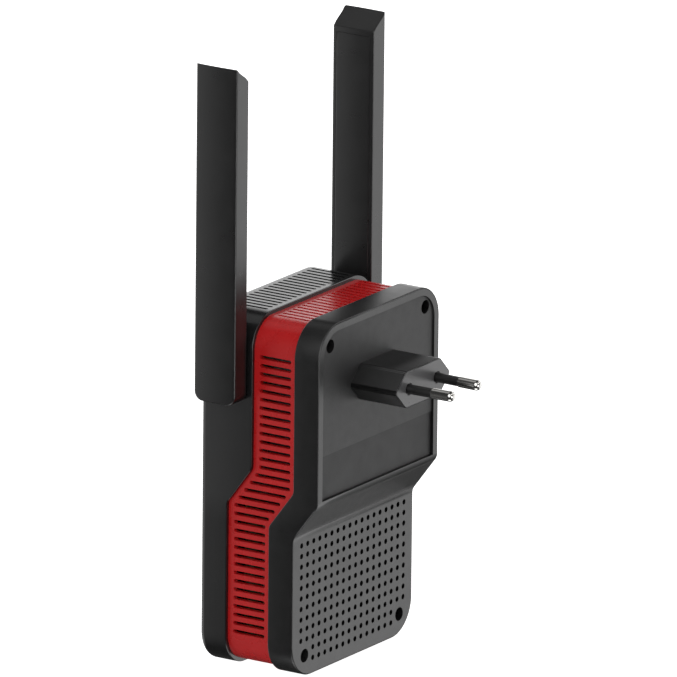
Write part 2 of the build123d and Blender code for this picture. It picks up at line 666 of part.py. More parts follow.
# ---------------------------------------------------------------- network jack
with BuildPart() as network_jack:
    block((-JACK_X, JACK_X), JACK_Y, JACK_Z)
    mouth_z = (JACK_Z[0], JACK_CAVITY_TOP)
    block((-JACK_MOUTH_X, JACK_MOUTH_X), JACK_MOUTH_Y, mouth_z, Mode.SUBTRACT)
    for half, reach in LATCH_STEPS:
        latch_y = (JACK_MOUTH_Y[1], JACK_MOUTH_Y[1] + reach)
        block((-half, half), latch_y, mouth_z, Mode.SUBTRACT)
save(network_jack, "network_jack")

with BuildPart() as jack_contacts:
    base_y = JACK_MOUTH_Y[0]
    for wire in range(JACK_WIRES):
        x = JACK_WIRE_PITCH * (wire - (JACK_WIRES - 1) / 2)
        with BuildSketch(Plane.YZ.offset(x)) as strip:
            Polygon(
                (base_y, JACK_WIRE_Z),
                (base_y + JACK_WIRE_WIDTH, JACK_WIRE_Z),
                (base_y + JACK_WIRE_SPRING, JACK_CAVITY_TOP),
                (base_y, JACK_CAVITY_TOP),
                align=None,
            )
        extrude(strip.sketch, amount=JACK_WIRE_WIDTH / 2, both=True)
save(jack_contacts, "jack_contacts")

# ---------------------------------------------------------------- push buttons
plunger_tip = MAIN_BOARD_FRONT_Y - SWITCH_HEIGHT - SWITCH_PLUNGER_OUT
switch_y = (MAIN_BOARD_FRONT_Y - SWITCH_HEIGHT, MAIN_BOARD_FRONT_Y)
flange_y = (FRONT_WALL_Y + JOINT_GAP, FRONT_WALL_Y + JOINT_GAP + WPS_FLANGE_THICK)

with BuildPart() as wps_switch:
    block(around(0, SWITCH_SIZE / 2), switch_y, around(WPS_Z, SWITCH_SIZE / 2))
    chamfer(wps_switch.edges().filter_by(Axis.Y), SWITCH_CORNER)
    bore_y = (switch_y[0], switch_y[0] + SWITCH_PLUNGER_IN + SWITCH_SPARE)
    rods([(0, WPS_Z)], bore_y, SWITCH_PLUNGER_R + SWITCH_CLEARANCE, Mode.SUBTRACT)
save(wps_switch, "wps_switch")

with BuildPart() as wps_plunger:
    rods([(0, WPS_Z)], (plunger_tip, switch_y[0] + SWITCH_PLUNGER_IN), SWITCH_PLUNGER_R)
save(wps_plunger, "wps_plunger")

with BuildPart() as wps_button:
    rods([(0, WPS_Z)], (FRONT_Y - WPS_PROUD, flange_y[0]), WPS_R)
    fillet(wps_button.faces().sort_by(Axis.Y)[0].edges(), WPS_PROUD * 0.8)
    rods([(0, WPS_Z)], flange_y, WPS_FLANGE_R)
    rods([(0, WPS_Z)], (flange_y[1], plunger_tip), SWITCH_PLUNGER_R)
save(wps_button, "wps_button")

with BuildPart() as reset_switch:
    on_main_board(around(RESET_X, RESET_SWITCH_X), RESET_SWITCH_Z, RESET_SWITCH_HEIGHT)
    with Locations((RESET_X, RESET_Y, RESET_SWITCH_Z[0] + RESET_BORE_DEPTH / 2)):
        Cylinder(RESET_PLUNGER_R + SWITCH_CLEARANCE, RESET_BORE_DEPTH, mode=Mode.SUBTRACT)
save(reset_switch, "reset_switch")

with BuildPart() as reset_plunger:
    with Locations((RESET_X, RESET_Y, sum(RESET_PLUNGER_Z) / 2)):
        Cylinder(RESET_PLUNGER_R, RESET_PLUNGER_Z[1] - RESET_PLUNGER_Z[0])
save(reset_plunger, "reset_plunger")

# ---------------------------------------------------------------- power board and what is on it
with BuildPart() as power_board:
    board_y = (POWER_BOARD_FRONT_Y, POWER_BOARD_REAR_Y)
    block((-POWER_BOARD_X, POWER_BOARD_X), board_y, POWER_BOARD_Z)
    rods(POWER_POSTS, board_y, BOARD_SCREW_R, Mode.SUBTRACT)
save(power_board, "power_board")

with BuildPart() as board_link:
    block(LINK_X, (MAIN_BOARD_REAR_Y, POWER_BOARD_FRONT_Y), LINK_Z)
save(board_link, "board_link")


def above_power_board(low, high):
    """The Y span between two heights above the power board's front side."""
    return (POWER_BOARD_FRONT_Y - high, POWER_BOARD_FRONT_Y - low)


with BuildPart() as power_transformer:
    block(CORE_X, above_power_board(0, CORE_HEIGHT), CORE_POST_Z)
    block(WINDING_X, above_power_board(CORE_PLATE, CORE_HEIGHT - CORE_PLATE), WINDING_Z)
    block(CORE_X, above_power_board(CORE_HEIGHT - CORE_PLATE, CORE_HEIGHT), CORE_Z)
    block(CORE_X, above_power_board(0, CORE_PLATE), CORE_Z)
save(power_transformer, "power_transformer")

with BuildPart() as bulk_capacitors:
    rods(BULK_POINTS, above_power_board(0, BULK_HEIGHT), CAN_R)
save(bulk_capacitors, "bulk_capacitors")

with BuildPart() as output_capacitor:
    rods(OUTPUT_POINTS, above_power_board(0, OUTPUT_HEIGHT), CAN_R)
save(output_capacitor, "output_capacitor")

with BuildPart() as input_choke:
    rods(CHOKE_POINTS, above_power_board(0, CHOKE_FLANGE), CAN_R)
    rods(CHOKE_POINTS, above_power_board(0, CHOKE_HEIGHT), CHOKE_WAIST_R)
    rods(CHOKE_POINTS, above_power_board(CHOKE_HEIGHT - CHOKE_FLANGE, CHOKE_HEIGHT), CAN_R)
save(input_choke, "input_choke")

with BuildPart() as fuse:
    block(FUSE_X, above_power_board(0, FUSE_HEIGHT), FUSE_Z)
    fillet(fuse.edges().filter_by(Axis.Y), FUSE_CORNER_R)
save(fuse, "fuse")

with BuildPart() as rectifier:
    block(RECTIFIER_X, above_power_board(0, RECTIFIER_HEIGHT), RECTIFIER_Z)
save(rectifier, "rectifier")

# ---------------------------------------------------------------- antennas
def on_side(side, low, high):
    """A span along X on the given side of the middle."""
    return tuple(sorted((side * low, side * high)))


def paddle(side, x_span, inset, top):
    """The antenna's long rounded outline, `inset` inside its skin, across x_span."""
    x_low, x_high = on_side(side, *x_span)
    bottom = ANTENNA_BOTTOM + inset
    with BuildSketch(Plane.YZ.offset(x_low)) as face:
        with Locations((PIVOT_Y, (top + bottom) / 2)):
            Rectangle(ANTENNA_Y[1] - ANTENNA_Y[0] - 2 * inset, top - bottom)
        fillet(face.vertices().group_by(Axis.Y)[0], ANTENNA_CORNER_R - inset)
    return extrude(face.sketch, amount=x_high - x_low, mode=Mode.PRIVATE)


for side, name in names.items():
    with BuildPart() as antenna_cover:
        add(paddle(side, (ANTENNA_X, OUTER_X), 0, ANTENNA_TOP))
        with BuildSketch(Plane.XZ) as slant:
            Polygon(
                (side * OUTER_X, ANTENNA_TOP),
                (side * ANTENNA_X, ANTENNA_TOP - ANTENNA_TOP_DROP),
                (side * ANTENNA_X, ANTENNA_TOP + 1),
                (side * OUTER_X, ANTENNA_TOP + 1),
                align=None,
            )
        extrude(slant.sketch, amount=-FRONT_Y, mode=Mode.SUBTRACT)
        outer_face = antenna_cover.faces().sort_by(Axis.X)[-1 if side > 0 else 0]
        fillet(outer_face.edges().sort_by(Axis.Z)[:-1], ANTENNA_EDGE_R)
        add(paddle(side, (ANTENNA_X, OUTER_X - ANTENNA_WALL), ANTENNA_WALL, LID_TOP), mode=Mode.SUBTRACT)
    save(antenna_cover, f"antenna_cover_{name}")

    with BuildPart() as antenna_lid:
        add(paddle(side, (ANTENNA_X, LID_X), ANTENNA_WALL, LID_TOP))
        side_rod((side * ANTENNA_X, side * LID_X), PIVOT_R, Mode.SUBTRACT)
    save(antenna_lid, f"antenna_lid_{name}")

    with BuildPart() as antenna_pivot:
        side_rod((side * PIVOT_END_X, side * LID_X), PIVOT_R)
        side_rod((side * LID_X, side * FLANGE_X), FLANGE_R)
        with BuildSketch(Plane.YZ.offset(side * CLIP_X[0])) as groove:
            with Locations((PIVOT_Y, PIVOT_Z)):
                Circle(PIVOT_R + 1)
                Circle(PIVOT_GROOVE_R, mode=Mode.SUBTRACT)
        extrude(groove.sketch, amount=side * (CLIP_X[1] - CLIP_X[0]), mode=Mode.SUBTRACT)
        side_rod((side * PIVOT_END_X, side * FLANGE_X), PIVOT_BORE_R, Mode.SUBTRACT)
    save(antenna_pivot, f"antenna_pivot_{name}")

    with BuildPart() as pivot_clip:
        side_rod((side * CLIP_X[0], side * CLIP_X[1]), CLIP_R)
        side_rod((side * CLIP_X[0], side * CLIP_X[1]), PIVOT_GROOVE_R, Mode.SUBTRACT)
        mouth_y = (PIVOT_Y - CLIP_MOUTH / 2, PIVOT_Y + CLIP_MOUTH / 2)
        block(on_side(side, *CLIP_X), mouth_y, (PIVOT_Z - CLIP_R - 1, PIVOT_Z), Mode.SUBTRACT)
    save(pivot_clip, f"pivot_clip_{name}")

    with BuildPart() as antenna_element:
        block(on_side(side, *ELEMENT_X), ELEMENT_Y, ELEMENT_Z)
    save(antenna_element, f"antenna_element_{name}")

    with BuildPart() as antenna_coax:
        coax_x = side * (ELEMENT_X[0] - COAX_R)
        with BuildLine() as route:
            FilletPolyline(
                (side * PIVOT_END_X, PIVOT_Y, PIVOT_Z),
                (coax_x, PIVOT_Y, PIVOT_Z),
                (coax_x, PIVOT_Y, ELEMENT_Z[0] + COAX_LAP),
                radius=COAX_BEND_R,
            )
        with BuildSketch(Plane(route.line @ 0, z_dir=(side, 0, 0))):
            Circle(COAX_R)
        sweep()
    save(antenna_coax, f"antenna_coax_{name}")

    with BuildPart() as pigtail:
        low_y = MAIN_BOARD_REAR_Y + SOCKET_HEIGHT + COAX_R
        with BuildLine() as route:
            FilletPolyline(
                (side * (PIVOT_END_X - PIGTAIL_GAP), PIVOT_Y, PIVOT_Z),
                (side * PIGTAIL_STRAIGHT_X, PIVOT_Y, PIVOT_Z),
                (side * PIGTAIL_DOWN_X, low_y, PIVOT_Z),
                (side * (SOCKET_X - SOCKET_HALF / 2), low_y, PIVOT_Z),
                radius=PIGTAIL_BEND_R,
            )
        with BuildSketch(Plane(route.line @ 0, z_dir=(-side, 0, 0))):
            Circle(COAX_R)
        sweep()
    save(pigtail, f"antenna_pigtail_{name}")

with BuildPart() as friction_washers:
    for side in names:
        side_rod((side * WASHER_X[0], side * WASHER_X[1]), WASHER_R)
        side_rod((side * WASHER_X[0], side * WASHER_X[1]), PIVOT_HOLE_R, Mode.SUBTRACT)
save(friction_washers, "friction_washers")
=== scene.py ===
import json
import math

import bpy
import numpy as np
from mathutils import Matrix, Vector


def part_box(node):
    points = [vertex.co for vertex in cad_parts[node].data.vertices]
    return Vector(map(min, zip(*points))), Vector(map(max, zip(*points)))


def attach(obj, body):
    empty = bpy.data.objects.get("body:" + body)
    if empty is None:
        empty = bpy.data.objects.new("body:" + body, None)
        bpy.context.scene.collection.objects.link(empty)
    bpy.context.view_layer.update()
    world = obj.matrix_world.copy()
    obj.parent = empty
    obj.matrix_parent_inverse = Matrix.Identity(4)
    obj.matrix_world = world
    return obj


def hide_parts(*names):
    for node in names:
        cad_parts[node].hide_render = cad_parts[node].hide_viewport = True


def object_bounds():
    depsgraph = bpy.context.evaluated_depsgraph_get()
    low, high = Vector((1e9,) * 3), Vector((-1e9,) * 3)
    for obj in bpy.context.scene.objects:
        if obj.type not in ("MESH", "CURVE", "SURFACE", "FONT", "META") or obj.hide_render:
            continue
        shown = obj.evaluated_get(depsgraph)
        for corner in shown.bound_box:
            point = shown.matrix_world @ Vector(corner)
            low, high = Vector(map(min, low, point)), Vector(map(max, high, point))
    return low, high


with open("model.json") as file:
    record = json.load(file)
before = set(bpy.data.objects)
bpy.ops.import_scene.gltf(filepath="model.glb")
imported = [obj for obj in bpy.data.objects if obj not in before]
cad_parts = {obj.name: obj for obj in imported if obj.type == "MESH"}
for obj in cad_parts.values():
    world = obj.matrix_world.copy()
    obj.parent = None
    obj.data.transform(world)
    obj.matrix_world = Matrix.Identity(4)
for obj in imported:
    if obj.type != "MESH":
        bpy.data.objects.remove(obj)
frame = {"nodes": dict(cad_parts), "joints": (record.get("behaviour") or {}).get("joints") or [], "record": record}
cad_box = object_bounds()
joints = {joint["name"]: joint for joint in frame["joints"]}
mounts = {mount["name"]: mount for mount in frame["record"]["mounts"]}
MM = 0.001

# ------------------------------------------------------------------------------------------------
# Front shell: the glossy black tub that faces the room. It is injection-moulded ABS from a
# polished mould. Its walls are crowned a little, so that they don't sink as they cool, and they
# show a faint orange-peel ripple.
# ------------------------------------------------------------------------------------------------
SHELL_TONES = ((0.0085, 0.0085, 0.0087), (0.0115, 0.0115, 0.0117))
SIDE_CREST_Y, SIDE_CROWN_R = -48 * MM, 480 * MM
TALL_CREST_Z, TALL_CROWN_R = 10 * MM, 900 * MM
STEP_ZS, STEP_DEPTH = (-52 * MM, -42 * MM), 10.5 * MM
RIPPLE_SIZE, RIPPLE_DEPTH = 4 * MM, 0.005 * MM
TONE_DRIFT, SHEEN_DRIFT = 20 * MM, 6 * MM


def node(mat, kind, inputs=None, **settings):
    """Adds a shader node, sets its properties, and sets or links its inputs by name."""
    made = mat.node_tree.nodes.new(kind)
    for key, value in settings.items():
        setattr(made, key, value)
    for key, value in (inputs or {}).items():
        if isinstance(value, bpy.types.NodeSocket):
            mat.node_tree.links.new(value, made.inputs[key])
        else:
            made.inputs[key].default_value = value
    return made


def place(mat, stretch=(1, 1, 1), turn=(0, 0, 0)):
    """The piece's own coordinates in metres, stretched or turned about the frame's axes."""
    here = node(mat, "ShaderNodeTexCoord").outputs["Object"]
    if tuple(stretch) == (1, 1, 1) and tuple(turn) == (0, 0, 0):
        return here
    mapping = node(mat, "ShaderNodeMapping", {"Vector": here, "Scale": stretch, "Rotation": turn})
    return mapping.outputs["Vector"]


def noise(mat, size, detail=3.0, vector=None):
    """Cloudy noise from 0 to 1 whose lumps are about `size` metres across."""
    made = node(mat, "ShaderNodeTexNoise", {"Scale": 1 / size, "Detail": detail})
    mat.node_tree.links.new(vector or place(mat), made.inputs["Vector"])
    return made.outputs["Fac"]


def facing(mat, axis):
    """How squarely the surface looks along one axis of the piece, from -1 to 1."""
    normal = node(mat, "ShaderNodeTexCoord").outputs["Normal"]
    return node(mat, "ShaderNodeSeparateXYZ", {"Vector": normal}).outputs[axis]


def along(mat, axis):
    """The piece's own coordinate along one axis, in metres."""
    return node(mat, "ShaderNodeSeparateXYZ", {"Vector": place(mat)}).outputs[axis]


def math_of(mat, operation, first, second):
    """One arithmetic step on two numbers or links."""
    return node(mat, "ShaderNodeMath", {0: first, 1: second}, operation=operation).outputs["Value"]


def between(mat, factor, low, high, start=0.3, end=0.7):
    """A number that goes from low to high as factor goes from start to end."""
    inputs = {"Value": factor, "From Min": start, "From Max": end, "To Min": low, "To Max": high}
    return node(mat, "ShaderNodeMapRange", inputs).outputs["Result"]


def tones(mat, factor, first, second, start=0.3, end=0.7):
    """A colour that goes from first to second as factor goes from start to end."""
    ramp = node(mat, "ShaderNodeValToRGB", {"Fac": factor})
    ramp.color_ramp.elements[0].position, ramp.color_ramp.elements[1].position = start, end
    ramp.color_ramp.elements[0].color, ramp.color_ramp.elements[1].color = (*first, 1), (*second, 1)
    return ramp.outputs["Color"]


def bumps(mat, *layers):
    """Stacks (height, distance in metres) layers into one surface normal."""
    normal = None
    for height, distance in layers:
        inputs = {"Height": height, "Distance": distance, "Strength": 1.0}
        if normal:
            inputs["Normal"] = normal
        normal = node(mat, "ShaderNodeBump", inputs).outputs["Normal"]
    return normal


def finish(mat, colour, rough, normal=None, **sockets):
    """Fills a material's own shader: colour and roughness may be links, the rest are plain numbers."""
    shader = mat.node_tree.nodes["Principled BSDF"]
    for key, value in {"Base Color": colour, "Roughness": rough, "Normal": normal, **sockets}.items():
        if isinstance(value, bpy.types.NodeSocket):
            mat.node_tree.links.new(value, shader.inputs[key])
        elif value is not None:
            shader.inputs[key].default_value = value
    return mat


def material(name):
    """An empty node material with a Principled shader."""
    mat = bpy.data.materials.new(name)
    mat.use_nodes = True
    return mat


def moulded(name, first, second, rough, grain, depth, **sockets):
    """Moulded plastic: the colour drifts between two tones, the roughness wanders between its two
    values, and the skin has a grain of the given size and depth in metres."""
    mat = material(name)
    colour = tones(mat, noise(mat, TONE_DRIFT, 4), first, second)
    roughness = between(mat, noise(mat, SHEEN_DRIFT, 6), *rough)
    skin = bumps(mat, (noise(mat, grain, 2), depth))
    return finish(mat, colour, roughness, skin, **sockets)


def dress(mat, *names):
    """Gives CAD nodes a material."""
    for name in names:
        mesh = frame["nodes"][name].data
        mesh.materials.clear()
        mesh.materials.append(mat)


def stepping(mat, crest):
    """A crest depth that follows the housing forward below its step."""
    return between(mat, along(mat, "Z"), crest - STEP_DEPTH, crest, *STEP_ZS)


def crowned(mat, axis, crest, radius):
    """The height of a wall crowned along one axis: -(position - crest)^2 / (2 radius), in metres."""
    off_crest = math_of(mat, "SUBTRACT", along(mat, axis), crest)
    return math_of(mat, "MULTIPLY", math_of(mat, "POWER", off_crest, 2.0), -0.5 / radius)


gloss_black = material("gloss_black_abs")
square_on = math_of(gloss_black, "POWER", facing(gloss_black, "X"), 2.0)
side_crest = stepping(gloss_black, SIDE_CREST_Y)
side_crown = crowned(gloss_black, "Y", side_crest, SIDE_CROWN_R)
side_crown = math_of(gloss_black, "MULTIPLY", side_crown, square_on)
finish(
    gloss_black,
    tones(gloss_black, noise(gloss_black, TONE_DRIFT, 4), *SHELL_TONES),
    between(gloss_black, noise(gloss_black, SHEEN_DRIFT, 6), 0.15, 0.20),
    bumps(
        gloss_black,
        (side_crown, 1.0),
        (crowned(gloss_black, "Z", TALL_CREST_Z, TALL_CROWN_R), 1.0),
        (noise(gloss_black, RIPPLE_SIZE, 2), RIPPLE_DEPTH),
    ),
)
dress(gloss_black, "front_shell")

# ------------------------------------------------------------------------------------------------
# Vent band: the red ring between the two shells. It is ABS coloured through, with a satin skin,
# and its slots let the heat out at the sides, the top and the bottom.
# ------------------------------------------------------------------------------------------------
band_red = moulded(
    "satin_red_abs", (0.45, 0.012, 0.013), (0.51, 0.014, 0.015), (0.24, 0.32), 0.9 * MM, 0.004 * MM,
    **{"Specular IOR Level": 0.35},
)
dress(band_red, "vent_band")

# ------------------------------------------------------------------------------------------------
# Rear shell: the dark shell against the wall. Its sides are satin. Its rear face and panel carry a
# fine spark-eroded grain that scatters the light. The panel is rougher. The end of the plug boss is
# smoother, and its colour is lightened as a painted sheen. The top droops towards the +X side.
# ------------------------------------------------------------------------------------------------
GRAIN_SIZE, GRAIN_DEPTH = 0.35 * MM, 0.03 * MM
RIM_FACE_Y, BOSS_FACE_Y, ZONE_MARGIN = -19.0 * MM, 0.0, 0.3 * MM
PANEL_BOTTOM_Z = -40 * MM
PANEL_ROUGHER, BOSS_END_SMOOTHER = 0.20, 0.06
REAR_CREST_Y, REAR_CROWN_R = -35 * MM, 150 * MM
DROOP_FROM_X, DROOP_TO_X, DROOP_R = -36 * MM, 40 * MM, 420 * MM
DROOP_LIFT = (DROOP_TO_X - DROOP_FROM_X) ** 2 / (2 * DROOP_R)
# The second tone is a painted sheen: it lightens the boss end's colour in place of the light its end face
# reflects.
DARK_TONE, END_PAINTED_SHEEN = (0.0110, 0.0110, 0.0112), (0.070, 0.070, 0.071)

rear_grey = material("spark_grain_abs")
to_the_wall = between(rear_grey, facing(rear_grey, "Y"), 0.0, 1.0, 0.45, 0.6)
depth = along(rear_grey, "Y")
in_the_panel = math_of(rear_grey, "LESS_THAN", depth, RIM_FACE_Y - ZONE_MARGIN)
above_step = math_of(rear_grey, "GREATER_THAN", along(rear_grey, "Z"), PANEL_BOTTOM_Z)
in_the_panel = math_of(rear_grey, "MULTIPLY", in_the_panel, above_step)
boss_end = math_of(rear_grey, "GREATER_THAN", depth, BOSS_FACE_Y - ZONE_MARGIN)
wander = noise(rear_grey, 4 * MM, 5)
satin = between(rear_grey, wander, 0.28, 0.34)
spark = between(rear_grey, wander, 0.33, 0.38)
panel_extra = math_of(rear_grey, "MULTIPLY", in_the_panel, PANEL_ROUGHER)
end_less = math_of(rear_grey, "MULTIPLY", boss_end, BOSS_END_SMOOTHER)
spark = math_of(rear_grey, "ADD", spark, panel_extra)
spark = math_of(rear_grey, "SUBTRACT", spark, end_less)
grain_share = math_of(rear_grey, "SUBTRACT", to_the_wall, boss_end)
grain = math_of(rear_grey, "MULTIPLY", noise(rear_grey, GRAIN_SIZE, 3), grain_share)
droop = math_of(rear_grey, "ADD", crowned(rear_grey, "X", DROOP_FROM_X, DROOP_R), DROOP_LIFT)
droop = math_of(rear_grey, "MULTIPLY", droop, facing(rear_grey, "Z"))
finish(
    rear_grey,
    # Painted sheen: the boss end's colour is lightened in place of the light that its end face reflects.
    tones(rear_grey, boss_end, DARK_TONE, END_PAINTED_SHEEN),
    between(rear_grey, to_the_wall, satin, spark, 0.0, 1.0),
    bumps(
        rear_grey,
        (crowned(rear_grey, "Y", stepping(rear_grey, REAR_CREST_Y), REAR_CROWN_R), 1.0),
        (crowned(rear_grey, "Z", TALL_CREST_Z, TALL_CROWN_R), 1.0),
        (droop, 1.0),
        (grain, GRAIN_DEPTH),
    ),
)
dress(rear_grey, "rear_shell")

# ------------------------------------------------------------------------------------------------
# Rating label: a blank dark film, stuck in the pocket at the bottom of the panel. The insulating
# film inside the housing has the same finish.
# ------------------------------------------------------------------------------------------------
label_film = moulded(
    "blank_label_film", (0.011, 0.011, 0.0112), (0.014, 0.014, 0.0142), (0.48, 0.54), 1.2 * MM, 0.003 * MM,
    **{"Specular IOR Level": 0.29},
)
dress(label_film, "rating_label", "insulating_film")

# ------------------------------------------------------------------------------------------------
# Plug: two nickel-plated brass pins, turned with a domed tip and a shoulder, pressed into nylon
# sleeves. A nylon carrier holds them inside the boss. The pins lean together a little.
# ------------------------------------------------------------------------------------------------
PIN_R, PIN_CORE_R, SLEEVE_R = 2.0 * MM, 1.5 * MM, 1.8 * MM
PIN_BACK, SLEEVE_START, SLEEVE_END, PIN_END = -20.5 * MM, -2.9 * MM, 10.0 * MM, 19.0 * MM
DOME_R, SHOULDER, SLEEVE_EDGE = 1.8 * MM, 0.1 * MM, 0.25 * MM
AROUND = 64


def skin(name, grid, mat, slot, body, replaced, around=True):
    """A closed mesh over a grid of points: each cell is a quad. Points that coincide, at a seam or a
    pole, are welded, and a cell that loses a corner there becomes a triangle. If the shape's volume,
    the sum of p . (q x r) / 6 over its triangles, is negative, it is turned the right way out."""
    rows, columns = grid.shape[:2]
    spots, same = np.unique(np.round(grid.reshape(-1, 3), 8), axis=0, return_inverse=True)
    numbers = same.reshape(rows, columns)
    if around:
        numbers = np.hstack((numbers, numbers[:, :1]))
    cells = (numbers[:-1, :-1], numbers[:-1, 1:], numbers[1:, 1:], numbers[1:, :-1])
    corners = np.stack(cells, axis=-1).reshape(-1, 4)
    repeated = corners == np.roll(corners, -1, axis=1)
    quads = corners[~repeated.any(axis=1)]
    pinched = repeated.sum(axis=1) == 1
    triangles = corners[pinched][~repeated[pinched]].reshape(-1, 3)
    halves = np.vstack((quads[:, (0, 1, 2)], quads[:, (0, 2, 3)], triangles))
    first, second, third = (spots[halves[:, corner]] for corner in range(3))
    turned_in = np.einsum("ij,ij->", first, np.cross(second, third)) < 0
    faces = [*quads.tolist(), *triangles.tolist()]
    mesh = bpy.data.meshes.new(name)
    mesh.from_pydata(spots.tolist(), [], [face[::-1] for face in faces] if turned_in else faces)
    mesh.validate()
    mesh.shade_smooth()
    mesh.set_sharp_from_angle(angle=math.radians(35))
    mesh.materials.append(mat)
    piece = bpy.data.objects.new(name, mesh)
    bpy.context.collection.objects.link(piece)
    piece.modifiers.new("even_shading", "WEIGHTED_NORMAL").keep_sharp = True
    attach(piece, body)
    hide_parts(*replaced)
    return piece


def quarter(start_deg, end_deg, steps=8):
    """Cosines and sines along part of a circle."""
    angle = np.radians(np.linspace(start_deg, end_deg, steps + 1))
    return np.cos(angle), np.sin(angle)


def turned_about(origin, axis, along_axis, radius):
    """A profile carried round an axis: origin + along * axis + radius * (cos t across + sin t up)."""
    axis = np.array(axis) / np.linalg.norm(axis)
    across = np.cross(axis, (0.3, 0.2, 1.0))
    across /= np.linalg.norm(across)
    up_axis = np.cross(axis, across)
    t = np.linspace(0, 2 * np.pi, AROUND, endpoint=False)[None, :, None]
    along_axis, radius = np.array(along_axis)[:, None, None], np.array(radius)[:, None, None]
    return np.array(origin) + along_axis * axis + radius * (np.cos(t) * across + np.sin(t) * up_axis)


nickel = material("nickel_plate")
turned = noise(nickel, 0.6 * MM, 3, place(nickel, (1, 12, 1)))
finish(
    nickel,
    tones(nickel, noise(nickel, 3 * MM, 3), (0.50, 0.49, 0.47), (0.60, 0.59, 0.57)),
    between(nickel, turned, 0.03, 0.07),
    bumps(nickel, (turned, 0.003 * MM)),
    Metallic=1.0,
)
black_nylon = moulded(
    "black_nylon", (0.010, 0.010, 0.010), (0.014, 0.014, 0.014), (0.30, 0.38), 0.8 * MM, 0.005 * MM
)
dress(
    black_nylon, "pin_carrier", "network_jack", "board_link", "fuse",
    "antenna_pivot_left", "antenna_pivot_right",
)

dome_out, dome_on = quarter(0, 90, 14)
pin_profile = [
    (PIN_BACK, 0.0),
    (PIN_BACK, PIN_CORE_R),
    (SLEEVE_END, PIN_CORE_R),
    (SLEEVE_END, PIN_R - SHOULDER),
    (SLEEVE_END + SHOULDER, PIN_R),
    *zip(PIN_END - DOME_R + DOME_R * dome_on, PIN_R - DOME_R + DOME_R * dome_out),
    (PIN_END, 0.0),
]
edge_out, edge_on = quarter(0, 90, 5)
sleeve_profile = [
    (SLEEVE_START, PIN_CORE_R),
    (SLEEVE_START, SLEEVE_R),
    *zip(SLEEVE_END - SLEEVE_EDGE + SLEEVE_EDGE * edge_on, SLEEVE_R - SLEEVE_EDGE + SLEEVE_EDGE * edge_out),
    (SLEEVE_END, PIN_CORE_R),
    (SLEEVE_START, PIN_CORE_R),
]
for side in ("left", "right"):
    mount = mounts[f"plug_pin_{side}"]
    lean = Vector(mount["axis"])
    face_point = Vector(mount["pos_m"]) - lean * (mount["pos_m"][1] / lean.y)
    pin_grid = turned_about(face_point, lean, *zip(*pin_profile))
    skin(f"pin_{side}", pin_grid, nickel, "pin_metal", "housing", [f"plug_pin_{side}"])
    sleeve_grid = turned_about(face_point, lean, *zip(*sleeve_profile))
    skin(f"sleeve_{side}", sleeve_grid, black_nylon, "black_nylon", "housing", [f"pin_sleeve_{side}"])

brass = material("stamped_brass")
finish(
    brass,
    tones(brass, noise(brass, 2 * MM, 3), (0.75, 0.52, 0.22), (0.85, 0.62, 0.30)),
    between(brass, noise(brass, 1 * MM, 3), 0.18, 0.3),
    bumps(brass, (noise(brass, 0.5 * MM, 3, place(brass, (1, 1, 8))), 0.003 * MM)),
    Metallic=1.0,
)
dress(brass, "pin_contact_left", "pin_contact_right", "jack_contacts", "antenna_sockets")

# ------------------------------------------------------------------------------------------------
# Screws, washers and clips: black zinc-plated screws, and bright spring steel at the pivots.
# ------------------------------------------------------------------------------------------------


def steel(name, first, second, rough):
    """Rolled or plated steel: streaks along X in colour, roughness and skin."""
    mat = material(name)
    streak = noise(mat, 0.8 * MM, 4, place(mat, (1, 6, 6)))
    skin = bumps(mat, (streak, 0.004 * MM))
    return finish(mat, tones(mat, streak, first, second), between(mat, streak, *rough), skin, Metallic=1.0)


dress(steel("black_zinc", (0.05, 0.05, 0.05), (0.09, 0.09, 0.1), (0.3, 0.45)),
      "case_screws", "board_screws", "power_board_screws")
dress(steel("spring_steel", (0.45, 0.45, 0.46), (0.6, 0.6, 0.62), (0.2, 0.35)),
      "friction_washers", "pivot_clip_left", "pivot_clip_right", "radio_shield", "wps_switch")

# ------------------------------------------------------------------------------------------------
# Antennas: flat ABS paddles, each a hollow cover closed by an inner lid that turns on a snap barrel.
# Both broad faces are crowned so that they don't sink as they cool, and the top is cut on a slant.
# ------------------------------------------------------------------------------------------------
CROWN = 0.32 * MM
SLANT_DROP = 6.0 * MM
LOW_CORNER_R, TOP_CORNER_R = 3.5 * MM, 0.4 * MM
OUTER_EDGE_R, TOP_EDGE_R, INNER_EDGE_R = 0.8 * MM, 0.25 * MM, 0.4 * MM
COVER_WALL, LID_SEAM, LID_EDGE_R = 1.3 * MM, 0.06 * MM, 0.2 * MM
BARREL_HOLE_R = 4.5 * MM
RUN_STEPS = 12

antenna_black = moulded(
    "satin_antenna_abs", (0.0095, 0.0095, 0.0097), (0.0120, 0.0120, 0.0122), (0.27, 0.33),
    1.5 * MM, 0.003 * MM,
)


def rounded_loops(half, bottom, top, low_r, top_r):
    """One rounded rectangle (y, z) per row: a quarter arc at each corner, centre + r (cos t, sin t),
    joined by straight runs. The arguments are arrays with one value per row."""
    def corner(y, z, radius, start_deg):
        cosine, sine = quarter(start_deg, start_deg + 90)
        return np.stack((y[:, None] + radius[:, None] * cosine, z[:, None] + radius[:, None] * sine), -1)

    arcs = [
        corner(half - top_r, top - top_r, top_r, 0),
        corner(top_r - half, top - top_r, top_r, 90),
        corner(low_r - half, bottom + low_r, low_r, 180),
        corner(half - low_r, bottom + low_r, low_r, 270),
    ]
    share = np.linspace(0, 1, RUN_STEPS + 1)[1:-1, None]
    stretches = []
    for arc, following in zip(arcs, arcs[1:] + arcs[:1]):
        stretches += [arc, arc[:, -1:] * (1 - share) + following[:, :1] * share]
    return np.concatenate(stretches, axis=1)


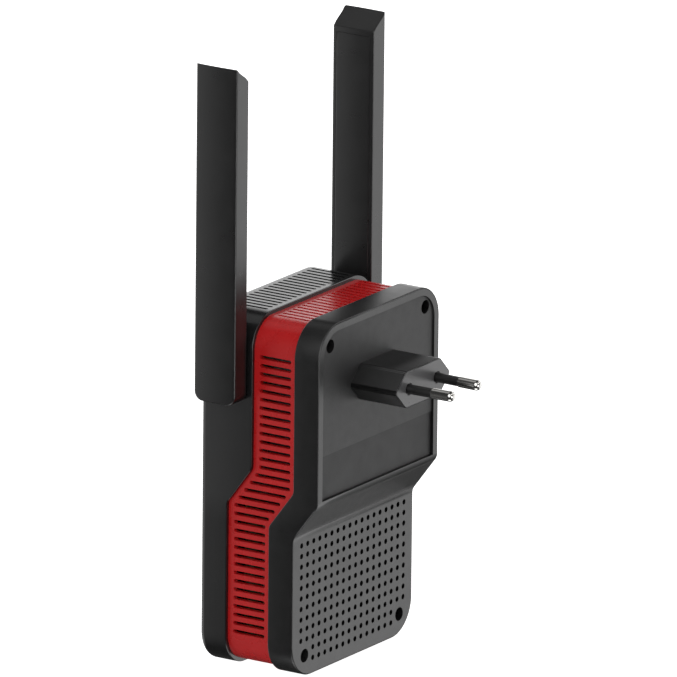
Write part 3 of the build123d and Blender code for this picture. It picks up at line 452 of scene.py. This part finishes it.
def cover_grid(side, low, high, lid_top):
    """The cover's surface, in rings that go from the middle line of the broad outer face, round its
    edge, down the side, round the inner edge, over the rim and into the hollow. A ring is a rounded
    rectangle at depth d from the inner face, inset i from the outline. Its top follows the slant,
    z = low top + drop * d / thickness, and the faces are crowned by depth -/+ crown * (y / half)^2."""
    half, thick = (high.y - low.y) / 2, high.x - low.x
    top_in = high.z - SLANT_DROP
    out, on = quarter(0, 90)
    face_inset = np.linspace(half, OUTER_EDGE_R, 9)[:-1]
    side_depth = np.linspace(thick - OUTER_EDGE_R, INNER_EDGE_R, 5)[1:-1]
    rim_inset = np.linspace(INNER_EDGE_R, COVER_WALL, 4)[1:]
    floor_inset = np.linspace(COVER_WALL, half, 5)[1:]
    slant = SLANT_DROP / thick
    top_fall = OUTER_EDGE_R - TOP_EDGE_R
    parts = [  # inset, depth, top, and how much of the crown the ring takes
        (face_inset, thick, high.z - face_inset + top_fall, -1),
        (OUTER_EDGE_R * (1 - on), thick - OUTER_EDGE_R * (1 - out),
         top_in + slant * (thick - OUTER_EDGE_R * (1 - out)) - TOP_EDGE_R * (1 - on), -1),
        (0, side_depth, top_in + slant * side_depth, 1 - 2 * side_depth[::-1] / thick),
        (INNER_EDGE_R * (1 - out), INNER_EDGE_R * (1 - on),
         top_in + slant * INNER_EDGE_R * (1 - on) - TOP_EDGE_R * (1 - out), 1),
        (rim_inset, 0, np.interp(rim_inset, (INNER_EDGE_R, COVER_WALL), (top_in - TOP_EDGE_R, lid_top)), 1),
        (COVER_WALL, np.array((CROWN, thick - COVER_WALL)), lid_top, 0),
        (floor_inset, thick - COVER_WALL, lid_top - floor_inset + COVER_WALL, 0),
    ]
    inset, depth, top, crown = np.hstack([np.array(np.broadcast_arrays(*part)) for part in parts])
    low_r, top_r = (np.maximum(r - inset, 0.0) for r in (LOW_CORNER_R, TOP_CORNER_R))
    loops = rounded_loops(half - inset, low.z + inset, top, low_r, top_r)
    depth = depth[:, None] + CROWN * crown[:, None] * (loops[..., 0] / half) ** 2
    inner_x = low.x if side > 0 else -high.x
    return np.stack((side * (inner_x + depth), loops[..., 0] + (low.y + high.y) / 2, loops[..., 1]), -1)


def lid_grid(side, low, high, half, barrel):
    """The lid's surface, in rings between its outline and the round hole for the barrel: a ring is
    (1 - k) * outline + k * circle, with k going 1 to 0 on the crowned front and 0 to 1 on the back."""
    middle_y, thick = (low.y + high.y) / 2, high.x - low.x
    out, on = quarter(0, 90, 4)
    face, edge = np.linspace(1, 0, 16)[:-1] ** 1.5, np.zeros(5)
    parts = [  # share of the circle, inset, depth, crown
        (face, LID_EDGE_R, 0, 1),
        (edge, LID_EDGE_R * (1 - out), LID_EDGE_R * (1 - on), 1),
        (0, 0, np.array((thick,)), 0),
        (face[::-1], 0, thick, 0),
        (np.array((1.0,)), LID_EDGE_R, 0, 1),
    ]
    share, inset, depth, crown = np.hstack([np.array(np.broadcast_arrays(*part)) for part in parts])
    inset = inset + LID_SEAM
    low_r, top_r = LOW_CORNER_R - COVER_WALL - inset, TOP_CORNER_R - inset
    bottom, top = low.z + inset, high.z - inset
    loops = rounded_loops((high.y - low.y) / 2 - inset, bottom, top, low_r, top_r)
    centre = np.array((barrel.y - middle_y, barrel.z))
    spoke = loops - centre
    circle = centre + BARREL_HOLE_R * spoke / np.linalg.norm(spoke, axis=-1, keepdims=True)
    loops = loops * (1 - share[:, None, None]) + circle * share[:, None, None]
    depth = depth[:, None] + CROWN * crown[:, None] * (loops[..., 0] / half) ** 2
    inner_x = low.x if side > 0 else -high.x
    return np.stack((side * (inner_x + depth), loops[..., 0] + middle_y, loops[..., 1]), -1)


for name, side in (("left", -1), ("right", 1)):
    low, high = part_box(f"antenna_cover_{name}")
    lid_low, lid_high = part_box(f"antenna_lid_{name}")
    body, barrel = f"antenna_{name}", Vector(joints[f"antenna_{name}_fold"]["pos_m"])
    cover = cover_grid(side, low, high, lid_high.z)
    skin(f"cover_{name}", cover, antenna_black, "antenna_black", body, [f"antenna_cover_{name}"])
    lid = lid_grid(side, lid_low, lid_high, (high.y - low.y) / 2, barrel)
    skin(f"lid_{name}", lid, antenna_black, "antenna_black", body, [f"antenna_lid_{name}"])

# ------------------------------------------------------------------------------------------------
# Circuit boards, chips and power parts inside the housing: green solder mask, black epoxy, shrink
# sleeve on the capacitors, tape on the wound parts and a drawn aluminium heat sink.
# ------------------------------------------------------------------------------------------------
TRACK_SCALE, MASK_DEPTH = 260.0, 0.03 * MM

board = material("solder_mask")
cells = {"Vector": place(board), "Scale": TRACK_SCALE}
mask = node(board, "ShaderNodeTexVoronoi", cells, distance="MANHATTAN")
finish(
    board,
    tones(board, mask.outputs["Distance"], (0.004, 0.05, 0.022), (0.010, 0.10, 0.045)),
    between(board, noise(board, 4 * MM), 0.25, 0.4),
    bumps(board, (mask.outputs["Distance"], MASK_DEPTH)),
)
dress(board, "main_board", "power_board", "antenna_element_left", "antenna_element_right")
epoxy = moulded(
    "moulded_epoxy", (0.012, 0.012, 0.013), (0.02, 0.02, 0.021), (0.4, 0.55), 0.3 * MM, 0.01 * MM
)
dress(epoxy, "soc_chip", "memory_chips", "network_transformer", "rectifier", "reset_switch")
silicone = moulded(
    "silicone_pad", (0.25, 0.3, 0.4), (0.3, 0.36, 0.46), (0.5, 0.7), 0.6 * MM, 0.02 * MM
)
dress(silicone, "thermal_pad")
dress(steel("drawn_aluminium", (0.5, 0.5, 0.52), (0.65, 0.65, 0.67), (0.25, 0.4)), "heat_sink")
shrink_sleeve = moulded(
    "shrink_sleeve", (0.01, 0.012, 0.03), (0.02, 0.022, 0.05), (0.2, 0.3), 2 * MM, 0.01 * MM
)
dress(shrink_sleeve, "bulk_capacitors", "output_capacitor")
polyester_tape = moulded(
    "polyester_tape", (0.55, 0.42, 0.06), (0.68, 0.52, 0.1), (0.25, 0.35), 1.6 * MM, 0.03 * MM
)
dress(polyester_tape, "power_transformer", "input_choke")
coax_jacket = moulded(
    "coax_jacket", (0.03, 0.03, 0.03), (0.05, 0.05, 0.05), (0.3, 0.4), 1 * MM, 0.01 * MM
)
for side in ("left", "right"):
    dress(coax_jacket, f"antenna_coax_{side}", f"antenna_pigtail_{side}")

# ------------------------------------------------------------------------------------------------
# Lights and buttons: a clear acrylic light pipe over four resin lights, and two buttons of satin
# ABS. The round button's cap is turned here, with a shallow dish for the finger.
# ------------------------------------------------------------------------------------------------
clear_acrylic = moulded(
    "clear_acrylic", (0.75, 0.8, 0.85), (0.8, 0.85, 0.9), (0.08, 0.15), 2 * MM, 0.01 * MM,
    **{"Transmission Weight": 0.6},
)
dress(clear_acrylic, "light_pipe")
led_resin = moulded(
    "led_resin", (0.8, 0.8, 0.6), (0.9, 0.9, 0.7), (0.2, 0.3), 0.6 * MM, 0.01 * MM
)
dress(led_resin, "indicator_leds")
button_abs = moulded(
    "button_abs", (0.012, 0.012, 0.0122), (0.016, 0.016, 0.0162), (0.28, 0.36), 0.5 * MM, 0.006 * MM
)
dress(button_abs, "wps_plunger", "reset_plunger")

CAP_R, CAP_EDGE_R, DISH_R, DISH_DEPTH = 6.0 * MM, 0.45 * MM, 4.8 * MM, 0.25 * MM
FLANGE_R, FLANGE_THICK, FLANGE_FROM_BACK, STEM_R = 7.0 * MM, 1.0 * MM, 4.2 * MM, 1.7 * MM
button_low, button_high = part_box("wps_button")
button_depth = button_high.y - button_low.y
dish = np.linspace(0, DISH_R, 13)
edge_out, edge_on = quarter(0, 90)
flange_at = button_depth - FLANGE_FROM_BACK - FLANGE_THICK
button_profile = [  # depth behind the front, radius
    *zip(DISH_DEPTH * np.cos(np.pi * dish / DISH_R / 2) ** 2, dish),
    *zip(CAP_EDGE_R * (1 - edge_out), CAP_R - CAP_EDGE_R * (1 - edge_on)),
    (flange_at, CAP_R),
    (flange_at, FLANGE_R),
    (flange_at + FLANGE_THICK, FLANGE_R),
    (flange_at + FLANGE_THICK, STEM_R),
    (button_depth, STEM_R),
    (button_depth, 0.0),
]
button_front = ((button_low.x + button_high.x) / 2, button_low.y, (button_low.z + button_high.z) / 2)
button_grid = turned_about(button_front, (0, 1, 0), *zip(*button_profile))
skin("wps_cap", button_grid, button_abs, "button_black", "wps_button_body", ["wps_button"])

# ------------------------------------------------------------------------------------------------
# Studio: a white floor in a dim white room, with soft round light panels. Large ones stand beyond
# the object, on both sides of it and overhead, small ones draw the edges, and one lights it from below.
# ------------------------------------------------------------------------------------------------
FLOOR_GAP, FLOOR_HALF = 0.5 * MM, 3.0
BACKGROUND, ROOM_FILL = 1.25, 0.055
PANELS = (  # name, azimuth and elevation in degrees, inner and outer radius in degrees, strength
    ("beyond", -147, 15, 9, 26, 1.55),
    ("front_side", -80, -4, 30, 54, 1.25),
    ("wall_side", 148, -14, 24, 44, 1.52),
    ("shoulder", 80, -6, 8, 20, 5.0),
    ("overhead", 18, 29, 20, 40, 2.1),
    ("antenna_tips", -92, 60, 8, 26, 0.45),
    ("crest", 156, 34, 8, 22, 2.2),
    ("shoulder_top", 95, 42, 8, 20, 2.0),
    ("floor_bounce", 15, -80, 14, 28, 2.4),
)
VIEW_AZIMUTH, VIEW_ELEVATION, VIEW_ROLL = math.radians(122.9), math.radians(16.07), math.radians(0.576)
LENS, SENSOR, CLIP_END = 1000.0, 36.0, 50.0
FRAME_WIDTH = 0.24411
AIM = Vector((0.01302, -0.02815, 0.01517))

floor_mesh = bpy.data.meshes.new("floor")
floor_z = cad_box[0][2] - FLOOR_GAP
floor_corners = [(x * FLOOR_HALF, y * FLOOR_HALF, floor_z) for x, y in ((-1, -1), (1, -1), (1, 1), (-1, 1))]
floor_mesh.from_pydata(floor_corners, [], [(0, 1, 2, 3)])
floor = bpy.data.objects.new("floor", floor_mesh)
bpy.context.collection.objects.link(floor)
paper = material("white_paper")
finish(
    paper, tones(paper, noise(paper, 50 * MM), (0.78, 0.78, 0.78), (0.80, 0.80, 0.80)), 0.9,
    **{"Emission Color": (1, 1, 1, 1), "Emission Strength": 1.05, "Specular IOR Level": 0.0},
)
floor_mesh.materials.append(paper)
floor.visible_glossy = False
floor.visible_diffuse = False

world = bpy.data.worlds.new("studio")
bpy.context.scene.world = world
world.use_nodes = True
direction = node(world, "ShaderNodeTexCoord").outputs["Generated"]
light = ROOM_FILL
for name, azimuth, elevation, inner, outer, strength in PANELS:
    turn, rise = math.radians(azimuth), math.radians(elevation)
    towards = (math.cos(turn) * math.cos(rise), math.sin(turn) * math.cos(rise), math.sin(rise))
    meets = node(world, "ShaderNodeVectorMath", {0: direction, 1: towards}, operation="DOT_PRODUCT")
    edges = {"From Min": math.cos(math.radians(outer)), "From Max": math.cos(math.radians(inner))}
    inputs = {"Value": meets.outputs["Value"], **edges, "To Max": strength}
    panel = node(world, "ShaderNodeMapRange", inputs, interpolation_type="SMOOTHSTEP")
    panel.label = name
    light = math_of(world, "ADD", panel.outputs["Result"], light)
seen = node(world, "ShaderNodeLightPath").outputs["Is Camera Ray"]
room = world.node_tree.nodes["Background"]
room.inputs["Color"].default_value = (1, 1, 1, 1)
world.node_tree.links.new(between(world, seen, light, BACKGROUND, 0.0, 1.0), room.inputs["Strength"])

bpy.context.scene.view_settings.view_transform = "Standard"

back = Vector((math.sin(VIEW_AZIMUTH) * math.cos(VIEW_ELEVATION),
               -math.cos(VIEW_AZIMUTH) * math.cos(VIEW_ELEVATION), math.sin(VIEW_ELEVATION)))
right = Vector((0, 0, 1)).cross(back).normalized()
up = back.cross(right)
right, up = (right * math.cos(VIEW_ROLL) + up * math.sin(VIEW_ROLL),
             up * math.cos(VIEW_ROLL) - right * math.sin(VIEW_ROLL))
camera = bpy.data.objects.new("camera", bpy.data.cameras.new("camera"))
bpy.context.collection.objects.link(camera)
camera.data.lens, camera.data.sensor_width = LENS, SENSOR
camera.data.clip_end = CLIP_END
place_at = AIM + back * (FRAME_WIDTH * LENS / SENSOR)
turned_to = Matrix((right, up, back)).transposed().to_4x4()
camera.matrix_world = Matrix.Translation(place_at) @ turned_to
bpy.context.scene.camera = camera
